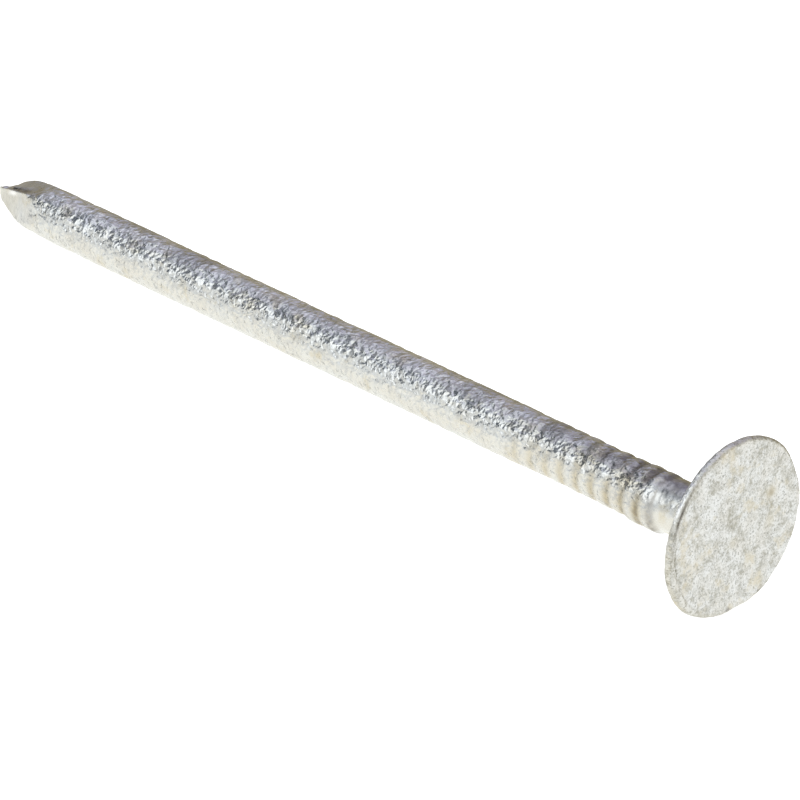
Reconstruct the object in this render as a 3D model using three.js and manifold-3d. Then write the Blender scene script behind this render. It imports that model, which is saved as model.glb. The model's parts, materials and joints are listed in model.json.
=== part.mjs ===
// A hot-dip galvanised clout nail, 65 mm long, lying on its side.
//
// It has two pieces. The steel core is one length of drawn wire: one end is upset into a broad
// flat head, the gripper dies that held it have left a collar and a row of teeth marks below the
// head, and the other end is pinched off to a four-sided point with a fin of flash on one ridge.
// The zinc coating is the skin that the hot dip leaves all over the steel. It is worn through at
// the very tip.
//
// The nail is built along X: the striking face of the head lies in the plane X = 0 and the tip
// is at X = -NAIL_LENGTH. Places along it are given as a distance behind the striking face.
// A roll is an angle about the axis: 0 is the top of the nail as it lies, PI / 2 is its -Y side.
// Millimetres, +Z up.

import * as THREE from "three";
import { mergeVertices } from "three/addons/utils/BufferGeometryUtils.js";
import Module from "manifold-3d";

const { degToRad, smoothstep } = THREE.MathUtils;
const wasm = await Module();
wasm.setup();

// The whole nail, over the zinc
const NAIL_LENGTH = 65;
const WIRE_DIAMETER = 3.35;
const ZINC_THICKNESS = 0.06;
const SIDES = 32;
const CURVE_STEPS = 3; // straight pieces in the shoulder's curve; the rim's edges have twice as many

// The head
const HEAD_DIAMETER = 11.2;
const HEAD_RIM_THICKNESS = 0.55;
const HEAD_EDGE_RADIUS = 0.16;
const HEAD_OFFSET = 0.48; // how far its centre sits off the wire's axis, towards the top
const BEARING_RING_INNER_RADIUS = 3.4;
const SHOULDER_END = 1.9; // where the fillet under the head runs out into the neck

// The neck, and the step up to the collar that stood between the two gripper dies. The dies
// squeezed the metal towards GRIPPER_ROLL, the middle of one of them, so the step is nearer the
// head on that side and everything behind it is higher.
const GRIPPER_ROLL = degToRad(138);
const NECK_WAIST = 0.055; // how much thinner than the wire, in radius
const COLLAR_START = 5.1;
const COLLAR_SLANT = 0.2;
const COLLAR_RISE = 0.5;
const COLLAR_HEIGHT = 0.1; // over the wire, in radius
const COLLAR_LEAN = 0.4;
const COLLAR_END = 7.4;
const COLLAR_FALL = 0.4;
const SWELL_HEIGHT = 0.035; // of the wire behind the collar, where the teeth raised it
const SWELL_END = 14;

// The marks of the gripper teeth, deepest in the middle of each die
const TOOTH_COUNT = 9;
const FULL_TEETH = 4; // the ones nearest the head, before they begin to fade
const FIRST_TOOTH = 6.42;
const TOOTH_PITCH = 1.26;
const TOOTH_HALF_WIDTH = 0.34;
const TOOTH_DEPTH = 0.1;

// The point. The dies met out of square, so each ridge leaves the tip at a roll and a radius of
// its own and climbs to the wire at its own slope. The end is rounded.
const POINT_RIDGES = [
  { roll: degToRad(34), tipRadius: 0.34, slope: 0.32 },
  { roll: degToRad(116), tipRadius: 0.29, slope: 0.41 },
  { roll: degToRad(214), tipRadius: 0.34, slope: 0.32 },
  { roll: degToRad(300), tipRadius: 0.35, slope: 0.65 },
];
const POINT_LENGTH = 7; // clear of where the last facet runs out
const TIP_ROUNDING = 0.84; // the length of the rounded end
const TIP_SHARE = 0.25; // what the rounding leaves of the section at the very end
const FLASH_THICKNESS = 0.1;
const FLASH_HEIGHT = 0.08;
const FLASH_LENGTH = 3.2;
const BARE_TIP = 0.1; // how much of the tip stands out of the zinc

const SPARE = 1; // how far one body runs past the face of another that cuts it

const STEEL = { color: 0x6f6a62, roughness: 0.5, metalness: 1 };
const ZINC = { color: 0xd4d4d0, roughness: 0.45, metalness: 0.85 };

const wireRadius = WIRE_DIAMETER / 2;
const steelHeadRadius = HEAD_DIAMETER / 2 - ZINC_THICKNESS;
const steelEdgeRadius = HEAD_EDGE_RADIUS - ZINC_THICKNESS;
const toothPlaces = Array.from({ length: TOOTH_COUNT }, (_, i) => FIRST_TOOTH + i * TOOTH_PITCH);

function solidFrom(geometry) {
  geometry.deleteAttribute("normal");
  geometry.deleteAttribute("uv");
  const merged = mergeVertices(geometry);
  return new wasm.Manifold(
    new wasm.Mesh({
      numProp: 3,
      vertProperties: merged.getAttribute("position").array,
      triVerts: new Uint32Array(merged.index.array),
    }),
  );
}

function meshFrom(name, solid, finish) {
  const { vertProperties, triVerts } = solid.getMesh();
  const geometry = new THREE.BufferGeometry();
  geometry.setAttribute("position", new THREE.BufferAttribute(vertProperties, 3));
  geometry.setIndex(new THREE.BufferAttribute(triVerts, 1));
  geometry.computeVertexNormals();
  const mesh = new THREE.Mesh(geometry, new THREE.MeshStandardMaterial(finish));
  mesh.name = name;
  return mesh;
}

// Turns a profile of (radius, -distance behind the striking face) about X. Its first corner is
// at firstRoll.
function turned(profile, sides, firstRoll) {
  return new THREE.LatheGeometry(profile, sides, firstRoll).rotateZ(-Math.PI / 2);
}

// The rings that the shank needs, from its end to the neck
function shankPlaces() {
  const places = toothPlaces.flatMap((place) => [
    place - TOOTH_HALF_WIDTH,
    place,
    place + TOOTH_HALF_WIDTH,
  ]);
  const stepLength = COLLAR_RISE + 2 * COLLAR_SLANT;
  for (const share of [0, 0.25, 0.5, 0.75, 1]) {
    places.push(COLLAR_START - COLLAR_SLANT + share * stepLength);
  }
  places.push(NAIL_LENGTH + SPARE);
  return places.sort((a, b) => b - a);
}

// Half the outline of the blank, from the end of the wire to the middle of the striking face,
// with its whole shank as thin as the neck. skin is how far the surface lies outside the steel.
function blankProfile(skin) {
  const face = skin - ZINC_THICKNESS;
  const back = ZINC_THICKNESS - HEAD_RIM_THICKNESS - skin;
  const headRadius = steelHeadRadius + skin;
  const edge = steelEdgeRadius + skin;
  const neck = wireRadius + skin - NECK_WAIST;
  const outline = new THREE.Path();
  outline.moveTo(0, -NAIL_LENGTH - SPARE);
  for (const place of shankPlaces()) outline.lineTo(neck, -place);
  outline.lineTo(neck, -SHOULDER_END);
  outline.quadraticCurveTo(neck, back, BEARING_RING_INNER_RADIUS, back);
  outline.lineTo(headRadius - edge, back);
  outline.absarc(headRadius - edge, back + edge, edge, -Math.PI / 2, 0, false);
  outline.lineTo(headRadius, face - edge);
  outline.absarc(headRadius - edge, face - edge, edge, 0, Math.PI / 2, false);
  outline.lineTo(0, face);
  return outline.getPoints(CURVE_STEPS);
}

// How deep the gripper teeth have bitten
function toothDepth(distance, roll) {
  const bite = Math.abs(Math.cos(roll - GRIPPER_ROLL));
  return toothPlaces.reduce((depth, place, i) => {
    const share = Math.max(0, 1 - Math.abs(distance - place) / TOOTH_HALF_WIDTH);
    const fade = 1 - smoothstep(i, FULL_TEETH, TOOTH_COUNT);
    return depth + TOOTH_DEPTH * fade * share * bite;
  }, 0);
}

// How far the shank stands out from the neck's radius
function shankRelief(distance, roll) {
  const lean = Math.cos(roll - GRIPPER_ROLL);
  const start = COLLAR_START - COLLAR_SLANT * lean;
  const rise = smoothstep(distance, start, start + COLLAR_RISE);
  const behindCollar = smoothstep(distance, COLLAR_END, COLLAR_END + COLLAR_FALL);
  const collar = COLLAR_HEIGHT * (1 + COLLAR_LEAN * lean) * (1 - behindCollar);
  const swell = SWELL_HEIGHT * (1 + lean) * (1 - smoothstep(distance, COLLAR_END, SWELL_END));
  return rise * (NECK_WAIST + collar + swell) - toothDepth(distance, roll);
}

// The head is off centre, and the shoulder under it leans over to meet it
function headShift(distance) {
  return HEAD_OFFSET * (1 - smoothstep(distance, HEAD_RIM_THICKNESS, SHOULDER_END));
}

// The wire with its head, its collar and its gripper marks, before the point is pinched. A side
// of it, not a corner, is at the bottom.
function headedBlank(skin) {
  const geometry = turned(blankProfile(skin), SIDES, Math.PI / SIDES);
  const position = geometry.getAttribute("position");
  for (let i = 0; i < position.count; i++) {
    const distance = -position.getX(i);
    const roll = Math.atan2(-position.getY(i), position.getZ(i));
    const plain = Math.hypot(position.getY(i), position.getZ(i));
    const radius = plain > 0 ? plain + shankRelief(distance, roll) : 0;
    position.setY(i, -Math.sin(roll) * radius);
    position.setZ(i, Math.cos(roll) * radius + headShift(distance));
  }
  return solidFrom(geometry);
}

// How far a ridge of the point is from the axis. Its facets move out by the skin, and about at
// right angles to each other, so a ridge moves by the diagonal of the skin's square.
function ridgeRadius({ tipRadius, slope }, distance, skin) {
  const fromTip = NAIL_LENGTH - distance;
  const inside = Math.max(0, 1 - fromTip / TIP_ROUNDING);
  const rounding = TIP_SHARE + (1 - TIP_SHARE) * Math.sqrt(1 - inside ** 2);
  return (tipRadius + slope * fromTip + skin * Math.SQRT2) * rounding;
}

// All that the pinching dies leave: a four-sided pyramid that widens from the tip until it
// clears the head
function pointEnvelope(skin, end) {
  const fromTip = [0.25, 0.5, 1].map((share) => share * TIP_ROUNDING);
  const places = [end, ...[...fromTip, 2, 4, POINT_LENGTH].map((gap) => NAIL_LENGTH - gap), -SPARE];
  const profile = places.map((place) => new THREE.Vector2(1, -place));
  profile.unshift(new THREE.Vector2(0, -end));
  profile.push(new THREE.Vector2(0, SPARE));
  const corners = POINT_RIDGES.length;
  const geometry = turned(profile, corners, 0);
  const position = geometry.getAttribute("position");
  for (let i = 0; i < position.count; i++) {
    const y = position.getY(i);
    const z = position.getZ(i);
    const corner = Math.round((Math.atan2(-y, z) / (2 * Math.PI)) * corners + corners) % corners;
    const ridge = POINT_RIDGES[corner];
    const radius = Math.hypot(y, z) * ridgeRadius(ridge, -position.getX(i), skin);
    position.setY(i, -Math.sin(ridge.roll) * radius);
    position.setZ(i, Math.cos(ridge.roll) * radius);
  }
  return solidFrom(geometry);
}

// The thin fin of metal squeezed out between the two dies, along the first ridge
function flash(skin, end) {
  const ridge = POINT_RIDGES[0];
  const start = NAIL_LENGTH - FLASH_LENGTH;
  const outline = new THREE.Shape();
  outline.moveTo(-end, 0);
  outline.lineTo(-start, 0);
  outline.lineTo(-start, ridgeRadius(ridge, start, skin));
  for (const place of [NAIL_LENGTH - TIP_ROUNDING, end]) {
    outline.lineTo(-place, ridgeRadius(ridge, place, skin) + FLASH_HEIGHT);
  }
  outline.closePath();
  const thickness = FLASH_THICKNESS + 2 * skin;
  const geometry = new THREE.ExtrudeGeometry(outline, { depth: thickness, bevelEnabled: false });
  geometry.translate(0, 0, -thickness / 2);
  geometry.rotateX(Math.PI / 2 + ridge.roll);
  return solidFrom(geometry);
}

function nailSolid(skin, end) {
  return headedBlank(skin).intersect(pointEnvelope(skin, end).add(flash(skin, end)));
}

// The nail lies on the rim of its head and on its shank where the point begins. The angle
// between its axis and the ground is the smallest at which any of it meets the ground.
function restTilt(solid) {
  const rimEnd = HEAD_RIM_THICKNESS - HEAD_EDGE_RADIUS; // where the rim rounds off behind
  const rimHeight = HEAD_OFFSET - (HEAD_DIAMETER / 2) * Math.cos(Math.PI / SIDES);
  const { vertProperties, numProp } = solid.getMesh();
  let tilt = Math.PI / 2;
  for (let i = 0; i < vertProperties.length; i += numProp) {
    const behindRim = -vertProperties[i] - rimEnd;
    if (behindRim > HEAD_DIAMETER) {
      tilt = Math.min(tilt, Math.atan2(vertProperties[i + 2] - rimHeight, behindRim));
    }
  }
  return tilt;
}

const steel = nailSolid(0, NAIL_LENGTH);
const dipped = nailSolid(ZINC_THICKNESS, NAIL_LENGTH - BARE_TIP);
const nail = new THREE.Group();
nail.add(meshFrom("steel_core", steel, STEEL));
nail.add(meshFrom("zinc_coating", dipped.subtract(steel), ZINC));

// Lay it down with the middle of its underside at the origin
nail.rotation.y = -restTilt(dipped);
const box = new THREE.Box3().setFromObject(nail, true);
const middle = box.getCenter(new THREE.Vector3());
nail.position.set(-middle.x, -middle.y, -box.min.z);

export default nail;
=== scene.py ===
"""A hot-dip galvanised clout nail lying on a pale floor.

The nail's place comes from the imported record: its striking face gives the centre of the head and
the direction of the nail's axis. Everything on the nail is then placed in the nail's own frame, in
millimetres: a distance behind the striking face, and a roll about the axis, where 0 is the top of
the nail as it lies and 90 degrees is its -Y side.
"""

import json
import math

import bpy
import numpy as np
from mathutils import Matrix, Vector, noise


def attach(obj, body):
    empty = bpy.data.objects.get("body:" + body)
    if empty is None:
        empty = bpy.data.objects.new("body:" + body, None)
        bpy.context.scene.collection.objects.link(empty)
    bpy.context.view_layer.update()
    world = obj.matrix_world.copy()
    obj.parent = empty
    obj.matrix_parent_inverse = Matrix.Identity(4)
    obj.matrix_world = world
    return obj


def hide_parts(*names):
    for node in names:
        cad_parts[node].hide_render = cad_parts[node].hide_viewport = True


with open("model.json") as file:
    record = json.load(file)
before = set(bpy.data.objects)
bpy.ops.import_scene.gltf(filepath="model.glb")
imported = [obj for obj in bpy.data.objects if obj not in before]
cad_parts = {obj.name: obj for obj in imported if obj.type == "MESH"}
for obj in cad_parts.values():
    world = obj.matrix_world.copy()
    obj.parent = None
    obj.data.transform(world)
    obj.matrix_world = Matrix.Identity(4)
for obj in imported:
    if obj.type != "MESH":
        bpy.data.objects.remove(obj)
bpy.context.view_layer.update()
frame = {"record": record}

MM = 0.001

# The nail, in millimetres. The wire is measured bare, and the head over its zinc. All places along
# the nail are distances behind the striking face, and from_tip is the distance back from the tip
NAIL_LENGTH = 65.0
WIRE_RADIUS = 1.625
ZINC = 0.06
HEAD_RADIUS = 5.6
HEAD_OFFSET = 0.48
RIM_THICKNESS = 0.55
EDGE_RADIUS = 0.16
FRONT_EDGE_RADIUS = 0.28
BEARING_RING_RADIUS = 3.4
SHOULDER_END = 1.9

# The neck, and the collar where the gripping dies held the wire hardest. The collar is higher and
# starts nearer the head on the side of GRIPPER_ROLL, and a low swelling runs on from it
GRIPPER_ROLL = math.radians(138)
NECK_WAIST = 0.01
COLLAR_START = 5.1
COLLAR_END = 7.4
COLLAR_RISE = 0.5
COLLAR_FALL = 0.4
COLLAR_HEIGHT = 0.1
COLLAR_LEAN = 0.4
COLLAR_SKEW = 0.2
SWELL_HEIGHT = 0.035
SWELL_END = 14.0

# Between the shoulder and the end of the collar, the wire drifts this far off the neck's line
SHANK_DRIFT = 0.03
DRIFT_ROLL = math.radians(138)

# The gripper marks. The lower the spread, the further round the wire they keep their depth
TOOTH_COUNT = 9
FIRST_TOOTH = 6.42
TOOTH_PITCH = 1.26
TOOTH_WIDTH = 0.28
TOOTH_DEPTH = 0.08
TOOTH_SPREAD = 0.7
FULL_TEETH = 4

# The point: its four ridges, as (roll, radius of the steel at the tip, slope)
POINT_RIDGES = (
    (math.radians(34), 0.34, 0.32),
    (math.radians(116), 0.29, 0.41),
    (math.radians(214), 0.34, 0.32),
    (math.radians(300), 0.35, 0.65),
)
POINT_LENGTH = 7.0

# How softly the wire runs into the point, and the rounded end: its length, and how much of the
# section is left at the very tip
POINT_ROUNDING = 0.17
TIP_ROUNDING = 0.84
TIP_SHARE = 0.25

# The tip is worn short, bare of zinc at its end, and bent up a little
WORN_OFF = 0.1
BARE_TIP = 0.03
WHISKER_ROLL = math.radians(-10)
WHISKER_LENGTH = 0.6
WHISKER_LIFT = 0.07

# The flash and the crevice behind it. A fade is the two distances from the tip between which
# something comes or goes, and the crevice's place and width grow by its spread for each millimetre
FLASH_ROLL = POINT_RIDGES[0][0]
FLASH_HEIGHT = 0.06
FLASH_WIDTH = 0.1
FLASH_FADE = (3.2, 4.2)
CREVICE_DEPTH = 0.15
CREVICE_PLACE = 0.2
CREVICE_WIDTH = 0.1
CREVICE_SPREAD = 0.05
CREVICE_START = (0.3, 1.2)
CREVICE_FADE = (2.6, 4.1)

# The nick, where the upper side of the tip broke away. Round the nail it runs out between these
# cosines of the angle from its middle
NICK_ROLL = math.radians(-35)
NICK_DEPTH = 0.2
NICK_SIDES = (0.2, 0.7)
NICK_START = (0.1, 0.45)
NICK_FADE = (0.9, 1.3)

# The middle of the upper side, where the zinc is darker and dust lies, and the cosines of the angles
# from it between which this runs out
UPPER_ROLL = math.radians(-10)
UPPER_SIDES = (0.5, 0.9)

# A painted dark line round the front of the rim, standing in for shade, and a painted highlight on the
# lip of the rim beside it
EDGE_SHADE_ROLL = math.radians(62)
EDGE_SHADE_INSET = 0.085
EDGE_SHADE_WIDTH = 0.04
EDGE_SHADE_ANGLE = 0.3
RIM_HIGHLIGHT_ROLL = math.radians(50)
RIM_HIGHLIGHT_ANGLE = 0.22
RIM_HIGHLIGHT_START = (0.15, 0.3)

# A painted highlight on the underside of the flash: how far below the ridge and from the tip, and how
# large
FLASH_HIGHLIGHT_PLACE = (0.15, 1.95)
FLASH_HIGHLIGHT_SIZE = (0.12, 0.5)

# Marks on the striking face, as (roll, radius, size, strength)
FACE_STAINS = (
    (math.radians(291), 3.16, 0.4, 0.8),
    (math.radians(255), 2.96, 0.5, 0.35),
    (math.radians(156), 0.93, 0.4, 0.3),
)
FACE_FLECKS = (
    (math.radians(170), 5.3, 0.12, 0.8),
    (math.radians(199), 5.45, 0.1, 0.8),
    (math.radians(291), 3.16, 0.25, 0.35),
)


def smoothstep(x, low, high):
    """0 below low, 1 above high, and a smooth step between them."""
    t = np.clip((x - low) / (high - low), 0, 1)
    return t * t * (3 - 2 * t)


def fade_out(x, low, high):
    """1 below low, 0 above high, and a smooth step between them."""
    return 1 - smoothstep(x, low, high)


def bell(x, width):
    """1 where x is 0, falling away on both sides."""
    return np.exp(-((x / width) ** 2))


def wrapped(angle):
    """The same angle between minus and plus half a turn."""
    return (angle + math.pi) % (2 * math.pi) - math.pi


# ---------------------------------------------------------------- the nail's surface


def die_share(roll, spread):
    """1 in the middle of each of the two gripping dies, and 0 half-way between them."""
    return np.abs(np.cos(roll - GRIPPER_ROLL)) ** spread


def tooth_share(distance, roll):
    """How far the gripper's teeth have bitten, from 0 to 1, deepest in the middle of each die."""
    share = 0.0
    for i in range(TOOTH_COUNT):
        place = FIRST_TOOTH + i * TOOTH_PITCH
        share = share + fade_out(i, FULL_TEETH, TOOTH_COUNT) * bell(distance - place, TOOTH_WIDTH)
    return share * die_share(roll, TOOTH_SPREAD)


def shank_relief(distance, roll):
    """How far the neck, the collar and the gripper marks stand out from the plain wire."""
    lean = np.cos(roll - GRIPPER_ROLL)
    start = COLLAR_START - COLLAR_SKEW * lean
    rise = smoothstep(distance, start, start + COLLAR_RISE)
    collar = COLLAR_HEIGHT * (1 + COLLAR_LEAN * lean)
    collar = collar * fade_out(distance, COLLAR_END, COLLAR_END + COLLAR_FALL)
    swell = SWELL_HEIGHT * (1 + lean) * fade_out(distance, COLLAR_END, SWELL_END)
    return rise * (NECK_WAIST + collar + swell) - NECK_WAIST - TOOTH_DEPTH * tooth_share(distance, roll)


# Where the head spread more or less than a true circle when it was upset, as
# (roll, half width, height)
HEAD_BULGES = (
    (math.radians(100), math.radians(22), 0.17),
    (math.radians(132), math.radians(20), 0.20),
    (math.radians(178), math.radians(9), -0.13),
    (math.radians(205), math.radians(9), 0.12),
    (math.radians(290), math.radians(13), -0.11),
)


def head_outline(roll):
    """How far the head's edge lies outside a true circle."""
    return sum(height * bell(wrapped(roll - place), width) for place, width, height in HEAD_BULGES)


def head_shift(distance):
    """How far the head's middle lies above the wire's, less and less through the shoulder."""
    return HEAD_OFFSET * fade_out(distance, RIM_THICKNESS, SHOULDER_END)


def point_radius(distance, roll, skin):
    """Straight across from ridge to ridge of the pinched point, and round at its end."""
    from_tip = max(0.0, NAIL_LENGTH - distance)
    limit = np.full_like(roll, np.inf)
    for i, (start, tip, slope) in enumerate(POINT_RIDGES):
        end, next_tip, next_slope = POINT_RIDGES[(i + 1) % len(POINT_RIDGES)]
        width = (end - start) % (2 * math.pi)
        angle = (roll - start) % (2 * math.pi)
        a = tip + slope * from_tip + skin * math.sqrt(2)
        b = next_tip + next_slope * from_tip + skin * math.sqrt(2)
        chord = a * b * math.sin(width) / (a * np.sin(angle) + b * np.sin(width - angle))
        limit = np.where(angle <= width, chord, limit)
    inside = max(0.0, 1 - from_tip / TIP_ROUNDING)
    return limit * (TIP_SHARE + (1 - TIP_SHARE) * math.sqrt(1 - inside ** 2))


def behind_ridge(roll, radius):
    """Millimetres round the point from the ridge with the flash, toward the top."""
    return radius * wrapped(FLASH_ROLL - roll)


def crevice_share(distance, roll, radius):
    """The crevice behind the flash, which widens away from the tip."""
    from_tip = NAIL_LENGTH - distance
    spread = CREVICE_SPREAD * from_tip
    share = bell(behind_ridge(roll, radius) - CREVICE_PLACE - spread, CREVICE_WIDTH + spread)
    return share * smoothstep(from_tip, *CREVICE_START) * fade_out(from_tip, *CREVICE_FADE)


def flash_share(distance, roll, radius):
    """The fin of flash along one ridge."""
    return bell(behind_ridge(roll, radius), FLASH_WIDTH) * fade_out(NAIL_LENGTH - distance, *FLASH_FADE)


def nick_share(distance, roll):
    """The hollow over the last millimetre of the tip, where the upper side of the wire broke away."""
    from_tip = NAIL_LENGTH - distance
    side = smoothstep(np.cos(roll - NICK_ROLL), *NICK_SIDES)
    return side * smoothstep(from_tip, *NICK_START) * fade_out(from_tip, *NICK_FADE)


def section(distance, radius, roll, skin):
    """One ring of the surface, as (distance, to the side, up) for each roll. skin is how far the
    surface lies outside the steel, and radius is the ring's before the point, the marks and the
    head's outline change it."""
    r = np.full_like(roll, radius)
    lift = 0.0
    if distance >= SHOULDER_END:
        r = r + shank_relief(distance, roll)
    if distance > NAIL_LENGTH - POINT_LENGTH:
        limit = point_radius(distance, roll, skin)
        soft = POINT_ROUNDING
        r = -soft * np.log(np.exp(-r / soft) + np.exp(-limit / soft))
        notch = CREVICE_DEPTH * crevice_share(distance, roll, r)
        r = r + FLASH_HEIGHT * flash_share(distance, roll, r) - notch
        r = r - NICK_DEPTH * nick_share(distance, roll)
        lift = WHISKER_LIFT * smoothstep(distance, NAIL_LENGTH - WHISKER_LENGTH, NAIL_LENGTH - WORN_OFF)
    if radius > BEARING_RING_RADIUS:
        spread = smoothstep(radius, BEARING_RING_RADIUS, HEAD_RADIUS)
        r = r + spread * head_outline(roll)
    drift = SHANK_DRIFT * smoothstep(distance, SHOULDER_END, COLLAR_END)
    y = -np.sin(roll) * r - math.sin(WHISKER_ROLL) * lift - math.sin(DRIFT_ROLL) * drift
    z = np.cos(roll) * r + math.cos(WHISKER_ROLL) * lift + math.cos(DRIFT_ROLL) * drift
    z = z + head_shift(distance)
    return np.stack([np.full_like(roll, distance), y, z], axis=1)


def steps(start, end, spacing):
    """Evenly spaced values from start, short of end."""
    count = max(1, round(abs(end - start) / spacing))
    return [start + (end - start) * i / count for i in range(count)]


# Rings are closer over this length of the tip, by this share of the spacing
FINE_LENGTH = 4.0
FINE_SPACING = 0.7


def profile(skin, spacing, end):
    """(distance, radius) of each ring, from next to the middle of the striking face to end."""
    face = ZINC - skin
    back = RIM_THICKNESS - ZINC + skin
    radius = HEAD_RADIUS - ZINC + skin
    edge = EDGE_RADIUS - ZINC + skin
    front = FRONT_EDGE_RADIUS - ZINC + skin
    shank = WIRE_RADIUS + skin
    waist = shank - NECK_WAIST
    rings = [(face, r) for r in steps(spacing, radius - front, spacing)]
    # The rim, with a rounded edge at its front and at its back
    quarter = [a * math.pi / 2 for a in steps(0, 1, min(0.25, spacing / front))]
    rings += [(face + front * (1 - math.cos(a)), radius - front * (1 - math.sin(a))) for a in quarter]
    rings += [(s, radius) for s in steps(face + front, back - edge, spacing)]
    rings += [(back - edge * (1 - math.sin(a)), radius - edge * (1 - math.cos(a))) for a in quarter]
    rings += [(back, r) for r in steps(radius - edge, BEARING_RING_RADIUS, spacing)]
    # The fillet under the head, a curve that leaves the ring flat and meets the neck lengthways
    for t in steps(0, 1, spacing / SHOULDER_END):
        u = 1 - t
        across = BEARING_RING_RADIUS * u * u + 2 * waist * u * t + waist * t * t
        rings.append((back * (u * u + 2 * u * t) + SHOULDER_END * t * t, across))
    fine_start = NAIL_LENGTH - FINE_LENGTH
    rings += [(s, shank) for s in steps(SHOULDER_END, fine_start, spacing)]
    rings += [(s, shank) for s in steps(fine_start, end, spacing * FINE_SPACING)]
    rings.append((end, shank))
    return rings


# Rings with a radius over LARGE_RING have twice the points, and those of the striking face under
# SMALL_RING have half
LARGE_RING = 2.6
SMALL_RING = 1.1


def ring_count(distance, radius, base):
    """The number of points round a ring, doubled where the ring is large or its shape is fine."""
    if distance > NAIL_LENGTH - FINE_LENGTH or radius > LARGE_RING:
        return base * 2
    if distance < RIM_THICKNESS and radius < SMALL_RING:
        return base // 2
    return base


def stitched(a, b):
    """Faces between two neighbouring rings of vertex numbers. One may have twice the points."""
    faces = []
    if len(a) == len(b):
        for i in range(len(a)):
            j = (i + 1) % len(a)
            faces.append((a[i], b[i], b[j], a[j]))
        return faces
    coarse, fine, turned = (a, b, False) if len(a) < len(b) else (b, a, True)
    for i in range(len(coarse)):
        j = (i + 1) % len(coarse)
        p, q, r = fine[2 * i], fine[2 * i + 1], fine[(2 * i + 2) % len(fine)]
        made = [(coarse[i], p, q), (coarse[i], q, coarse[j]), (coarse[j], q, r)]
        faces += [tuple(reversed(f)) for f in made] if turned else made
    return faces


class Skin:
    """Collects rings of points and the faces between them."""

    def __init__(self):
        self.points = []
        self.faces = []

    def ring(self, points):
        """Adds points and returns their numbers."""
        first = len(self.points)
        self.points += [tuple(p) for p in points]
        return list(range(first, len(self.points)))

    def rings(self, skin, spacing, base, end):
        """The nail's surface from the striking face to end, facing out. Returns its last ring."""
        centre = self.ring([(ZINC - skin, 0, HEAD_OFFSET)])[0]
        last = None
        for distance, radius in profile(skin, spacing, end):
            count = ring_count(distance, radius, base)
            roll = np.arange(count) * (2 * math.pi / count)
            new = self.ring(section(distance, radius, roll, skin))
            if last is None:
                self.faces += [(centre, new[i], new[(i + 1) % count]) for i in range(count)]
            else:
                self.faces += stitched(last, new)
            last = new
        return last

    def turn_out(self, first_face):
        """Turns every face from first_face on the other way out."""
        self.faces[first_face:] = [tuple(reversed(f)) for f in self.faces[first_face:]]


def nail_matrix():
    """From the nail's own millimetres to the row frame."""
    face = next(m for m in frame["record"]["mounts"] if m["name"] == "striking_face")
    along = Vector(face["axis"]).normalized()
    side = Vector((0, 1, 0))
    above = along.cross(side)
    origin = Vector(face["pos_m"]) - above * HEAD_OFFSET * MM
    turn = Matrix((-along, side, above)).transposed().to_4x4()
    return Matrix.Translation(origin) @ turn @ Matrix.Scale(MM, 4)


def mesh_object(name, skin, material):
    """A smooth-shaded object made of the skin's points and faces."""
    mesh = bpy.data.meshes.new(name)
    mesh.from_pydata(skin.points, [], skin.faces)
    mesh.update()
    piece = bpy.data.objects.new(name, mesh)
    bpy.context.scene.collection.objects.link(piece)
    mesh.materials.append(material)
    mesh.polygons.foreach_set("use_smooth", [True] * len(mesh.polygons))
    return piece


# ---------------------------------------------------------------- lumps of zinc


# The zinc froze in lumps of three sizes, as (width, height, shift of the pattern)
LUMP_SIZES = (
    (1.8, 0.035, Vector((0, 0, 0))),
    (0.55, 0.046, Vector((7, 3, 1))),
    (0.26, 0.022, Vector((1, 9, 4))),
)
LUMP_TOP = 0.03
DEEPEST_LUMP = -0.8 * ZINC

# How lumpy the zinc is on the face and the neck, and on the rim, where the shank has 1. On the
# pinched point it is less by PINCH_LOSS. An inset is how far inside the plain wire, or inside the
# head's edge, the change begins and ends
SMOOTH_LUMPS = 0.22
RIM_LUMPS = 0.7
PINCH_LOSS = 0.7
PINCH_INSET = (0.05, 0.4)
RIM_INSET = (0.35, 0.1)


def crystal_height(p):
    """The height in millimetres of the lumps over the smooth surface at p."""
    return sum(noise.noise(p / width + shift) * height for width, height, shift in LUMP_SIZES)


def rim_share(radius):
    """1 on the rim of the head, and 0 further in."""
    start, end = RIM_INSET
    return smoothstep(radius, HEAD_RADIUS - start, HEAD_RADIUS - end)


def lumpiness(distance, radius):
    """How lumpy the zinc is: full on the shank, and less on the rim, face, neck and point."""
    on_rim = (distance < SHOULDER_END) * rim_share(radius)
    on_shank = smoothstep(distance, COLLAR_START, COLLAR_START + 1)
    share = SMOOTH_LUMPS + (1 - SMOOTH_LUMPS) * np.maximum(on_shank, RIM_LUMPS * on_rim)
    pinched = smoothstep(WIRE_RADIUS + ZINC - radius, *PINCH_INSET)
    pinched = pinched * (distance > NAIL_LENGTH - POINT_LENGTH)
    return share * (1 - PINCH_LOSS * pinched)


def vertices_of(mesh, attribute):
    """One row for each vertex: its place for "co", or its normal for "normal"."""
    values = np.zeros(len(mesh.vertices) * 3)
    mesh.vertices.foreach_get(attribute, values)
    return values.reshape(-1, 3)


def raise_lumps(mesh, count):
    """Moves the first count vertices, those of the outer surface, along their normals. The lumps'
    tops are about level with the smooth surface."""
    places = vertices_of(mesh, "co")
    normals = vertices_of(mesh, "normal")
    distance, to_side, up = places.T
    share = lumpiness(distance, np.hypot(to_side, up - head_shift(distance)))
    for i in range(count):
        height = max(crystal_height(Vector(places[i])) - LUMP_TOP, DEEPEST_LUMP)
        places[i] += normals[i] * height * share[i]
    mesh.vertices.foreach_set("co", places.ravel())
    mesh.update()


# ---------------------------------------------------------------- dirt, painted shade, stains and painted highlights


# How strong the darkening is in each place. Next to the shoulder it is painted shade
NECK_DARKENING = 0.5
SHOULDER_SHADE = 0.3
NEAR_HEAD_DARKENING = 0.26
CREASE_DARKENING = 1.1
CREVICE_DARKENING = 0.62
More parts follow.
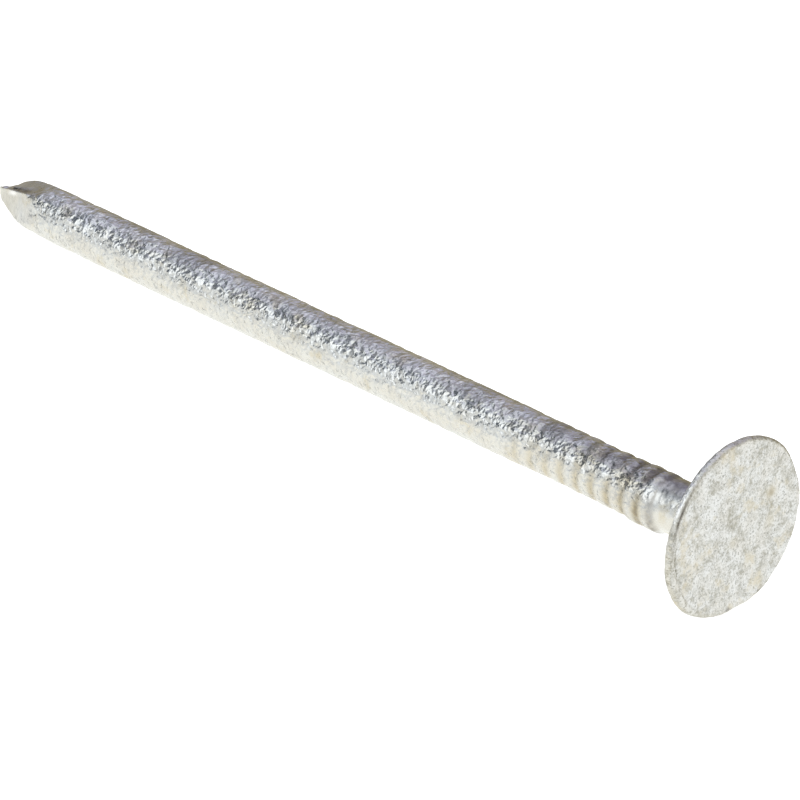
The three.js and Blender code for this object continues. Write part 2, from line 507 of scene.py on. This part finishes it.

# Where the darkening near the head runs out, and where the crease before the collar is
NEAR_HEAD_FADE = (12, 24)
CREASE_PLACE = COLLAR_START + 0.3
CREASE_WIDTH = 0.3

# How strong the stains are
RIM_STAIN = 0.15
CREVICE_STAIN = 0.9
POINT_STAIN = 0.3
POINT_STAIN_START = (NAIL_LENGTH - 3.5, NAIL_LENGTH - 2)

# The dirt and the stain in the gripper marks, as (strength, how many marks it takes to fade)
TOOTH_DIRT_AND_SHADE = (1.3, 3)
TOOTH_STAIN = (1.2, 12)
MARK_WIDTH = 0.32
MARK_SPREAD = 0.45


def face_marks(marks, roll, radius):
    """Round marks on the striking face, from one of the lists above."""
    total = 0.0
    for place, out, size, strength in marks:
        gap = radius ** 2 + out ** 2 - 2 * radius * out * np.cos(roll - place)
        total = total + strength * np.exp(-gap / size ** 2)
    return total


def tooth_marks(distance, strength, fade):
    """Something left in each gripper mark, and less of it in each one further from the head."""
    total = 0.0
    for i in range(TOOTH_COUNT):
        place = FIRST_TOOTH + i * TOOTH_PITCH
        total = total + strength * math.exp(-i / fade) * bell(distance - place, MARK_WIDTH)
    return total


def upper_share(roll):
    """1 along the middle of the upper side."""
    return smoothstep(np.cos(roll - UPPER_ROLL), *UPPER_SIDES)


def crevice_marks(distance, roll, radius):
    """The share of the crevice, and 0 away from the point."""
    return np.where(distance > NAIL_LENGTH - POINT_LENGTH, crevice_share(distance, roll, radius), 0)


def shank_dirt_and_shade(distance, roll, radius):
    """Darker zinc on top of the neck and the first part of the shank, with painted shade next to the
    head; darker in the crease and the crevice; dirt in the gripper marks; painted shade on top of
    these."""
    upper = upper_share(roll)
    neck = NECK_DARKENING * fade_out(distance, COLLAR_START, COLLAR_START + 1)
    # Painted shade on top of the neck next to the head, where it meets the rim
    neck = upper * (neck + SHOULDER_SHADE * fade_out(distance, SHOULDER_END, SHOULDER_END + 1))
    near_head = smoothstep(distance, COLLAR_START, COLLAR_END) * fade_out(distance, *NEAR_HEAD_FADE)
    crease = CREASE_DARKENING * bell(distance - CREASE_PLACE, CREASE_WIDTH)
    crease = crease + tooth_marks(distance, *TOOTH_DIRT_AND_SHADE)
    # Painted shade: the crease and the gripper marks are made darker on the upper side
    crease = crease * (0.5 + 0.5 * upper) * die_share(roll, MARK_SPREAD)
    # Darker in the crevice behind the flash
    crevice = CREVICE_DARKENING * crevice_marks(distance, roll, radius)
    return np.maximum(neck, crease) + crevice + NEAR_HEAD_DARKENING * upper * near_head


def shank_stain(distance, roll, radius):
    """In the gripper marks and on the point, away from the upper side, and in the crevice."""
    lower = 1 - upper_share(roll)
    teeth = lower * die_share(roll, MARK_SPREAD) * tooth_marks(distance, *TOOTH_STAIN)
    point = POINT_STAIN * lower * smoothstep(distance, *POINT_STAIN_START)
    return teeth + CREVICE_STAIN * crevice_marks(distance, roll, radius) + point


def head_dirt_and_shade(distance, roll, radius):
    """The flecks on the striking face, and a painted dark line of shade round part of the rim."""
    # Painted shade: a dark line round the front edge of the rim
    line = bell(radius - HEAD_RADIUS + EDGE_SHADE_INSET, EDGE_SHADE_WIDTH)
    line = line * bell(wrapped(roll - EDGE_SHADE_ROLL), EDGE_SHADE_ANGLE)
    return face_marks(FACE_FLECKS, roll, radius) + line


def head_stain(distance, roll, radius):
    """The stains on the striking face, and a little round the rim."""
    return face_marks(FACE_STAINS, roll, radius) + RIM_STAIN * rim_share(radius)


def rim_painted_highlight(distance, roll, radius):
    """A painted highlight on the lip of the rim, next to the neck as the camera sees it."""
    along = bell(wrapped(roll - RIM_HIGHLIGHT_ROLL), RIM_HIGHLIGHT_ANGLE)
    return rim_share(radius) * smoothstep(distance, *RIM_HIGHLIGHT_START) * along


def flash_painted_highlight(distance, roll, radius):
    """A painted highlight on the underside of the flash, below the middle of the crevice."""
    below, from_tip = FLASH_HIGHLIGHT_PLACE
    width, length = FLASH_HIGHLIGHT_SIZE
    along = bell(NAIL_LENGTH - distance - from_tip, length)
    return bell(behind_ridge(roll, radius) + below, width) * along


def paint(mesh):
    """Stores on each vertex what the zinc's material needs to know about its place."""
    distance, to_side, up = vertices_of(mesh, "co").T
    up = up - head_shift(distance)
    roll = np.arctan2(-to_side, up)
    radius = np.hypot(to_side, up)
    place = (distance, roll, radius)
    on_head = distance < SHOULDER_END
    marks = {
        "dirt_and_shade": np.where(on_head, head_dirt_and_shade(*place), shank_dirt_and_shade(*place)),
        "stain": np.where(on_head, head_stain(*place), shank_stain(*place)),
        # Painted highlights on the rim and on the flash
        "painted_highlight": np.where(on_head, rim_painted_highlight(*place), flash_painted_highlight(*place)),
        "upper": np.where(on_head, 0, upper_share(roll)),
        "head": np.where(on_head, 1, 0),
        "lumps": lumpiness(distance, radius),
    }
    for name, values in marks.items():
        attribute = mesh.attributes.new(name, "FLOAT", "POINT")
        attribute.data.foreach_set("value", values.astype(np.float32))


# ---------------------------------------------------------------- materials


class Nodes:
    """Short calls for building a node tree."""

    def __init__(self, tree):
        self.tree = tree
        tree.nodes.clear()

    def add(self, kind, **values):
        node = self.tree.nodes.new(kind)
        for name, value in values.items():
            setattr(node, name, value)
        return node

    def link(self, out, into):
        self.tree.links.new(out, into)

    def math(self, operation, *values):
        node = self.add("ShaderNodeMath", operation=operation)
        for socket, value in zip(node.inputs, values):
            if isinstance(value, (int, float)):
                socket.default_value = value
            else:
                self.link(value, socket)
        return node.outputs[0]

    def ramp(self, factor, stops):
        node = self.add("ShaderNodeValToRGB")
        elements = node.color_ramp.elements
        while len(elements) < len(stops):
            elements.new(0.5)
        for element, (place, colour) in zip(elements, stops):
            element.position = place
            element.color = (*colour, 1)
        self.link(factor, node.inputs[0])
        return node.outputs[0]

    def attribute(self, name):
        return self.add("ShaderNodeAttribute", attribute_name=name).outputs["Fac"]

    def noise(self, place, scale, detail=3.0, roughness=0.5, distortion=0.0):
        node = self.add("ShaderNodeTexNoise")
        node.inputs["Distortion"].default_value = distortion
        node.inputs["Scale"].default_value = scale
        node.inputs["Detail"].default_value = detail
        node.inputs["Roughness"].default_value = roughness
        self.link(place, node.inputs["Vector"])
        return node.outputs["Fac"]

    def mix(self, factor, a, b, blend="MIX"):
        node = self.add("ShaderNodeMix", data_type="RGBA", blend_type=blend)
        for socket, value in ((node.inputs[0], factor), (node.inputs[6], a), (node.inputs[7], b)):
            if isinstance(value, (int, float)):
                socket.default_value = value
            elif isinstance(value, tuple):
                socket.default_value = (*value, 1)
            else:
                self.link(value, socket)
        return node.outputs[2]


def millimetres(nodes):
    """The place on the surface, in millimetres, for the textures."""
    coordinates = nodes.add("ShaderNodeTexCoord")
    scaled = nodes.add("ShaderNodeVectorMath", operation="SCALE")
    nodes.link(coordinates.outputs["Object"], scaled.inputs[0])
    scaled.inputs["Scale"].default_value = 1 / MM
    return scaled.outputs[0]


def grey(value):
    """A colour, or a share as a ramp stores it."""
    return (value, value, value)


def principled(name):
    """A new material, its nodes and its shader."""
    material = bpy.data.materials.new(name)
    material.use_nodes = True
    nodes = Nodes(material.node_tree)
    shader = nodes.add("ShaderNodeBsdfPrincipled")
    output = nodes.add("ShaderNodeOutputMaterial")
    nodes.link(shader.outputs[0], output.inputs[0])
    return material, nodes, shader


MOTTLE_COLOUR = (0.30, 0.29, 0.235)
SPECK_COLOUR = (0.26, 0.26, 0.23)
STAIN_COLOUR = (0.55, 0.495, 0.36)
# The near white of the painted highlights
PAINTED_HIGHLIGHT_COLOUR = (0.95, 0.95, 0.93)
# The dark that both the dirt and the painted shade mix toward
DIRT_AND_SHADE_COLOUR = (0.30, 0.28, 0.27)
SHANK_MOTTLE = 0.15
DIRT_AND_SHADE_STRENGTH = 1.3


def zinc_colour(nodes, place, head):
    """Clouded grey, mottled and specked with darker grey, mostly on the head, stained, and with painted
    highlights.
    """
    clouds = nodes.noise(place, 0.8, 3)
    colour = nodes.ramp(clouds, [(0.35, (0.655, 0.65, 0.61)), (0.6, (0.68, 0.69, 0.67))])
    mottle = nodes.noise(place, 1.2, 6, 0.95)
    mottle_share = nodes.ramp(mottle, [(0.38, grey(0.95)), (0.49, grey(0.3)), (0.56, grey(0))])
    on_head = nodes.math("MULTIPLY_ADD", head, 1 - SHANK_MOTTLE, SHANK_MOTTLE)
    colour = nodes.mix(nodes.math("MULTIPLY", mottle_share, on_head), colour, MOTTLE_COLOUR)
    specks = nodes.noise(place, 7, 2, 0.7)
    speck_share = nodes.ramp(specks, [(0.3, grey(1)), (0.46, grey(0))])
    colour = nodes.mix(nodes.math("MULTIPLY", speck_share, head), colour, SPECK_COLOUR)
    stains = nodes.noise(place, 0.55, 5, 0.65)
    stain_share = nodes.ramp(stains, [(0.54, grey(0)), (0.66, grey(0.6))])
    stain_share = nodes.math("MAXIMUM", stain_share, nodes.attribute("stain"))
    colour = nodes.mix(stain_share, colour, STAIN_COLOUR)
    # Painted highlights: near white on the lip of the rim and under the flash
    return nodes.mix(nodes.attribute("painted_highlight"), colour, PAINTED_HIGHLIGHT_COLOUR)


def zinc_tarnish_and_shade(nodes, place):
    """The darkening stored on the vertices, dirt in places and painted shade in others, in blotches,
    and dust in patches along the upper side.
    """
    dust = nodes.ramp(nodes.noise(place, 0.4, 3), [(0.42, grey(0)), (0.65, grey(0.42))])
    blotches = nodes.ramp(nodes.noise(place, 2.5, 3), [(0.35, grey(0.5)), (0.6, grey(1))])
    # Dirt and painted shade, stored together on the vertices
    dirt_and_shade = nodes.math("MULTIPLY", nodes.attribute("dirt_and_shade"), DIRT_AND_SHADE_STRENGTH)
    dirt_and_shade = nodes.math("MULTIPLY", dirt_and_shade, blotches)
    dirt_and_shade = nodes.math("MULTIPLY_ADD", nodes.attribute("upper"), dust, dirt_and_shade)
    return nodes.ramp(dirt_and_shade, [(0, grey(1)), (1, DIRT_AND_SHADE_COLOUR)])


HEAD_ROUGHNESS = 0.13


def zinc_roughness(nodes, place, head):
    """Uneven, and rougher on the head by HEAD_ROUGHNESS."""
    rough = nodes.noise(place, 2.4, 2)
    roughness = nodes.ramp(rough, [(0.3, grey(0.22)), (0.7, grey(0.33))])
    return nodes.math("ADD", roughness, nodes.math("MULTIPLY", head, HEAD_ROUGHNESS))


# The heights in millimetres of the bumps between the lumps
CRYSTAL_BUMPS = 0.14
GRAIN_BUMPS = 0.012


def zinc_bumps(nodes, place, lumps):
    """Bumps too small for the mesh: crystals, and the grain on them."""
    crystals = nodes.math("MULTIPLY", nodes.noise(place, 2.9, 1.2, 0.5, 0.2), CRYSTAL_BUMPS)
    grain = nodes.math("MULTIPLY", nodes.noise(place, 10, 2, 0.6), GRAIN_BUMPS)
    height = nodes.math("MULTIPLY", nodes.math("ADD", crystals, grain), lumps)
    bump = nodes.add("ShaderNodeBump")
    bump.inputs["Strength"].default_value = 1.0
    bump.inputs["Distance"].default_value = MM
    nodes.link(height, bump.inputs["Height"])
    return bump.outputs[0]


CRYSTAL_SIZE = 0.28
CRYSTAL_TILT = 0.26


def tilted_facets(nodes, place, normal, lumps):
    """Each crystal of zinc ends in a small flat face, turned its own way."""
    cells = nodes.add("ShaderNodeTexVoronoi", feature="F1")
    cells.inputs["Scale"].default_value = 1 / CRYSTAL_SIZE
    nodes.link(place, cells.inputs["Vector"])
    centred = nodes.add("ShaderNodeVectorMath", operation="SUBTRACT")
    nodes.link(cells.outputs["Color"], centred.inputs[0])
    centred.inputs[1].default_value = (0.5, 0.5, 0.5)
    tilt = nodes.add("ShaderNodeVectorMath", operation="SCALE")
    nodes.link(centred.outputs[0], tilt.inputs[0])
    nodes.link(nodes.math("MULTIPLY", lumps, CRYSTAL_TILT), tilt.inputs["Scale"])
    turned = nodes.add("ShaderNodeVectorMath", operation="ADD")
    nodes.link(normal, turned.inputs[0])
    nodes.link(tilt.outputs[0], turned.inputs[1])
    unit = nodes.add("ShaderNodeVectorMath", operation="NORMALIZE")
    nodes.link(turned.outputs[0], unit.inputs[0])
    return unit.outputs[0]


def zinc_material():
    material, nodes, shader = principled("hot_dip_zinc")
    shader.inputs["Metallic"].default_value = 1.0
    place = millimetres(nodes)
    head = nodes.attribute("head")
    lumps = nodes.attribute("lumps")
    colour = nodes.mix(1.0, zinc_colour(nodes, place, head), zinc_tarnish_and_shade(nodes, place), "MULTIPLY")
    nodes.link(colour, shader.inputs["Base Color"])
    nodes.link(zinc_roughness(nodes, place, head), shader.inputs["Roughness"])
    bumps = zinc_bumps(nodes, place, lumps)
    nodes.link(tilted_facets(nodes, place, bumps, lumps), shader.inputs["Normal"])
    return material


def steel_material():
    """Drawn steel with a little rust. It shows only at the bare tip."""
    material, nodes, shader = principled("drawn_steel")
    shader.inputs["Metallic"].default_value = 1.0
    rust = nodes.noise(millimetres(nodes), 4, 4)
    colour = nodes.ramp(rust, [(0.4, (0.55, 0.52, 0.47)), (0.65, (0.36, 0.27, 0.19))])
    nodes.link(colour, shader.inputs["Base Color"])
    roughness = nodes.ramp(rust, [(0.3, grey(0.3)), (0.7, grey(0.55))])
    nodes.link(roughness, shader.inputs["Roughness"])
    bump = nodes.add("ShaderNodeBump")
    bump.inputs["Strength"].default_value = 0.4
    bump.inputs["Distance"].default_value = 0.02 * MM
    nodes.link(rust, bump.inputs["Height"])
    nodes.link(bump.outputs[0], shader.inputs["Normal"])
    return material


def floor_material():
    """Matt white that glows, like a light table."""
    material, nodes, shader = principled("pale_floor")
    shader.inputs["Roughness"].default_value = 1.0
    shader.inputs["Specular IOR Level"].default_value = 0.0
    paper = nodes.noise(millimetres(nodes), 0.2, 2)
    colour = nodes.ramp(paper, [(0.3, grey(FLOOR_ALBEDO)), (0.7, grey(FLOOR_ALBEDO * 0.99))])
    nodes.link(colour, shader.inputs["Base Color"])
    shader.inputs["Emission Color"].default_value = (1, 1, 1, 1)
    shader.inputs["Emission Strength"].default_value = FLOOR_GLOW
    return material


# ---------------------------------------------------------------- pieces


# Millimetres between rings and points round each ring, where the surface is seen and where it isn't
SPACING = 0.1
AROUND = 96
HIDDEN_SPACING = 0.3
HIDDEN_AROUND = 48

# The last rings of the bare tip, as (distance short of the end, share of the full section)
TIP_RINGS = ((0.015, 0.86), (0.0, 0.5))


def steel_core():
    """The whole wire inside the zinc, closed at the striking face and at the tip."""
    skin = Skin()
    end = NAIL_LENGTH - WORN_OFF
    last = skin.rings(0.0, HIDDEN_SPACING, HIDDEN_AROUND, end - BARE_TIP)
    roll = np.arange(len(last)) * (2 * math.pi / len(last))
    for short, share in TIP_RINGS:
        points = section(end - short, WIRE_RADIUS, roll, 0.0)
        middle = points.mean(axis=0)
        points[:, 1:] = middle[1:] + (points[:, 1:] - middle[1:]) * share
        new = skin.ring(points)
        skin.faces += stitched(last, new)
        last = new
    centre = skin.ring([np.array(skin.points)[last].mean(axis=0)])[0]
    skin.faces += [(last[i], centre, last[(i + 1) % len(last)]) for i in range(len(last))]
    return mesh_object("steel_wire", skin, steel_material())


def zinc_coating():
    """A closed skin over the steel, open only at the bare tip."""
    skin = Skin()
    end = NAIL_LENGTH - WORN_OFF - BARE_TIP
    outer_end = skin.rings(ZINC, SPACING, AROUND, end)
    outer_count = len(skin.points)
    first_inner = len(skin.faces)
    inner_end = skin.rings(0.0, HIDDEN_SPACING, HIDDEN_AROUND, end)
    skin.turn_out(first_inner)
    skin.faces += stitched(outer_end, inner_end)
    piece = mesh_object("zinc_skin", skin, zinc_material())
    paint(piece.data)
    raise_lumps(piece.data, outer_count)
    return piece


# ---------------------------------------------------------------- the studio


FLOOR_SIZE = 6.0
FLOOR_ALBEDO = 0.5
FLOOR_GLOW = 0.72


def studio_floor():
    """A light table. The nail mirrors the studio's bands instead of it."""
    mesh = bpy.data.meshes.new("floor")
    h = FLOOR_SIZE / 2
    mesh.from_pydata([(-h, -h, 0), (h, -h, 0), (h, h, 0), (-h, h, 0)], [], [(0, 1, 2, 3)])
    floor = bpy.data.objects.new("floor", mesh)
    bpy.context.scene.collection.objects.link(floor)
    mesh.materials.append(floor_material())
    floor.visible_glossy = False


# The studio that the nail mirrors. Its brightness runs in bands round an axis along X, as
# (share of a full turn from straight down over the camera's side, the top and the far side, colour).
# Along X it has four parts: what the plain shank mirrors, what its lumps mirror where they lean
# toward the tip, the far end on the tip's side, and the side that the head faces
SOFTBOX_BANDS = (
    (0.00, (1.27, 1.26, 1.20)),
    (0.08, (1.34, 1.31, 1.23)),
    (0.20, (1.36, 1.34, 1.27)),
    (0.25, (1.04, 1.06, 1.08)),
    (0.30, (0.80, 0.84, 0.88)),
    (0.335, (1.64, 1.68, 1.74)),
    (0.405, (1.68, 1.74, 1.82)),
    (0.45, (0.66, 0.72, 0.82)),
    (0.511, (1.20, 1.22, 1.42)),
    (0.544, (1.08, 1.10, 1.32)),
    (0.578, (0.75, 0.76, 0.94)),
    (0.611, (0.60, 0.60, 0.80)),
    (0.644, (0.59, 0.565, 0.72)),
    (0.69, (0.59, 0.55, 0.56)),
    (0.73, (0.55, 0.51, 0.40)),
    (0.77, (0.45, 0.40, 0.26)),
    (0.85, (0.45, 0.40, 0.26)),
    (0.90, (1.36, 1.36, 1.32)),
)
TIP_SIDE_BANDS = (
    (0.00, (1.24, 1.24, 1.20)),
    (0.27, (1.00, 1.01, 1.02)),
    (0.33, (0.08, 0.10, 0.13)),
    (0.48, (0.08, 0.10, 0.13)),
    (0.55, (0.64, 0.66, 0.80)),
    (0.61, (0.45, 0.46, 0.57)),
    (0.69, (0.42, 0.40, 0.38)),
    (0.77, (0.42, 0.38, 0.29)),
    (0.86, (0.42, 0.38, 0.29)),
    (0.90, (1.20, 1.20, 1.15)),
)
TIP_END_BANDS = (
    (0.00, (1.24, 1.24, 1.20)),
    (0.27, (1.10, 1.10, 1.08)),
    (0.34, (1.15, 1.15, 1.14)),
    (0.37, (0.06, 0.08, 0.11)),
    (0.48, (0.06, 0.08, 0.11)),
    (0.55, (0.52, 0.53, 0.62)),
    (0.66, (0.50, 0.48, 0.46)),
    (0.77, (0.50, 0.47, 0.38)),
    (0.86, (0.50, 0.47, 0.38)),
    (0.90, (1.20, 1.20, 1.15)),
)
HEAD_SIDE_BANDS = (
    (0.00, (1.20, 1.20, 1.18)),
    (0.28, (1.05, 1.06, 1.07)),
    (0.36, (0.95, 0.95, 0.95)),
    (0.47, (0.95, 0.94, 0.92)),
    (0.62, (0.95, 0.94, 0.92)),
    (0.70, (0.75, 0.74, 0.70)),
    (0.78, (1.45, 1.46, 1.48)),
)

# Where one part runs into the next, as X of the direction
TIP_END_EDGE = (-0.98, -0.93)
TIP_SIDE_EDGE = (-0.70, -0.605)
HEAD_SIDE_EDGE = (0.20, 0.35)


def studio_world():
    """The four parts of the studio, each blended into the next along X."""
    world = bpy.data.worlds.new("studio")
    bpy.context.scene.world = world
    world.use_nodes = True
    nodes = Nodes(world.node_tree)
    coordinates = nodes.add("ShaderNodeTexCoord")
    split = nodes.add("ShaderNodeSeparateXYZ")
    nodes.link(coordinates.outputs["Generated"], split.inputs[0])
    turn = nodes.math("ARCTAN2", split.outputs["Y"], split.outputs["Z"])
    share = nodes.math("MULTIPLY_ADD", turn, 0.5 / math.pi, 0.5)
    colour = nodes.ramp(share, TIP_END_BANDS)
    for (start, end), bands in (
        (TIP_END_EDGE, TIP_SIDE_BANDS),
        (TIP_SIDE_EDGE, SOFTBOX_BANDS),
        (HEAD_SIDE_EDGE, HEAD_SIDE_BANDS),
    ):
        edge = nodes.add("ShaderNodeMapRange", interpolation_type="SMOOTHSTEP")
        edge.inputs["From Min"].default_value = start
        edge.inputs["From Max"].default_value = end
        nodes.link(split.outputs["X"], edge.inputs["Value"])
        colour = nodes.mix(edge.outputs[0], colour, nodes.ramp(share, bands))
    background = nodes.add("ShaderNodeBackground")
    nodes.link(colour, background.inputs["Color"])
    output = nodes.add("ShaderNodeOutputWorld")
    nodes.link(background.outputs[0], output.inputs[0])


CEILING_SIZE = 5.0
CEILING_HEIGHT = 1.5
CEILING_RADIANCE = 0.9


def ceiling_light():
    """One very large soft light overhead for the floor. The nail doesn't mirror it."""
    data = bpy.data.lights.new("ceiling", "AREA")
    data.shape = "SQUARE"
    data.size = CEILING_SIZE
    data.energy = CEILING_RADIANCE * math.pi * CEILING_SIZE ** 2
    light = bpy.data.objects.new("ceiling", data)
    bpy.context.scene.collection.objects.link(light)
    light.location = (0, 0, CEILING_HEIGHT)
    light.visible_camera = False
    light.visible_glossy = False


BACKDROP_RADIUS = 1.4
BACKDROP_WHITE = 1.0


def backdrop():
    """A pale dome behind everything, which only the camera sees."""
    bpy.ops.mesh.primitive_uv_sphere_add(segments=48, ring_count=24, radius=BACKDROP_RADIUS)
    dome = bpy.context.object
    dome.name = "backdrop"
    material = bpy.data.materials.new("backdrop")
    material.use_nodes = True
    nodes = Nodes(material.node_tree)
    shader = nodes.add("ShaderNodeEmission")
    shader.inputs["Color"].default_value = (*grey(BACKDROP_WHITE), 1)
    output = nodes.add("ShaderNodeOutputMaterial")
    nodes.link(shader.outputs[0], output.inputs[0])
    dome.data.materials.append(material)
    for flag in ("diffuse", "glossy", "transmission", "volume_scatter", "shadow"):
        setattr(dome, "visible_" + flag, False)


CAMERA_AZIMUTH = 45.02
CAMERA_ELEVATION = 32.77
CAMERA_SENSOR = 36.0
CAMERA_LENS = 252.3
CAMERA_DISTANCE = 0.3475
LOOK_AT = Vector((0.003495, 0.000933, 0.000945))


def studio_camera():
    """At the photograph's angle, looking at a place near the middle of the nail."""
    data = bpy.data.cameras.new("camera")
    data.sensor_width = CAMERA_SENSOR
    data.lens = CAMERA_LENS
    data.clip_start = 0.01
    data.clip_end = 20.0
    camera = bpy.data.objects.new("camera", data)
    bpy.context.scene.collection.objects.link(camera)
    azimuth = math.radians(CAMERA_AZIMUTH)
    elevation = math.radians(CAMERA_ELEVATION)
    toward = Vector((math.sin(azimuth) * math.cos(elevation),
                     -math.cos(azimuth) * math.cos(elevation),
                     math.sin(elevation)))
    camera.location = LOOK_AT + toward * CAMERA_DISTANCE
    camera.rotation_euler = toward.to_track_quat("Z", "Y").to_euler()
    bpy.context.scene.camera = camera


# ---------------------------------------------------------------- the scene


studio_camera()
studio_world()
ceiling_light()
studio_floor()
backdrop()
bpy.context.scene.view_settings.view_transform = "Standard"

place_nail = nail_matrix()
for piece, node, slot in (
    (steel_core(), "steel_core", "drawn_steel"),
    (zinc_coating(), "zinc_coating", "hot_dip_zinc"),
):
    piece.data.transform(place_nail)
    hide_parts(node)
    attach(piece, "root")
